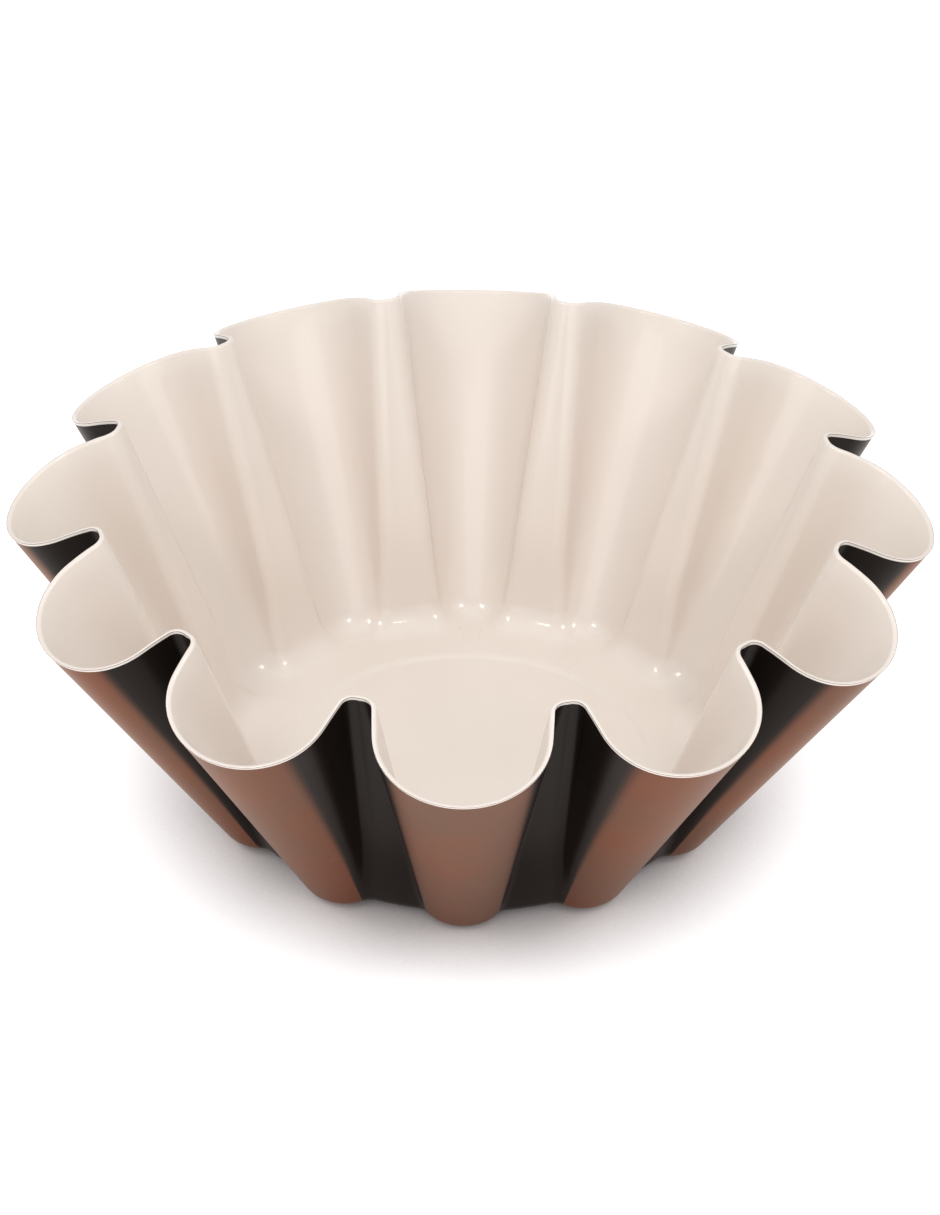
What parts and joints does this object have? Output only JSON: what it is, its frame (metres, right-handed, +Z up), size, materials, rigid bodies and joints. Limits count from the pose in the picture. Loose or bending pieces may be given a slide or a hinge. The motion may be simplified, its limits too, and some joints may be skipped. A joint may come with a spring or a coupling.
{
  "type": "brioche mould",
  "caption": "Fluted round brioche mould pressed from one sheet, flaring wall with deep lobes, flat sunken base, bronze lacquer outside and cream ceramic lining inside.",
  "frame": {"origin": "centre of the sunken base panel's underside, on the surface that the mould stands on", "axes": "+Z up along the mould's axis; one lobe points along -Y, towards the picture's camera, and one along each of +X, -X and +Y"},
  "size_m": [0.2396, 0.2396, 0.0905],
  "materials": {
    "bronze_lacquer": "satin metallic bronze-brown lacquer on pressed sheet",
    "cream_ceramic": "smooth glossy cream ceramic non-stick coating"
  },
  "bodies": {
    "root": {"pressed_shell": "bronze_lacquer", "ceramic_lining": "cream_ceramic"}
  },
  "joints": []
}
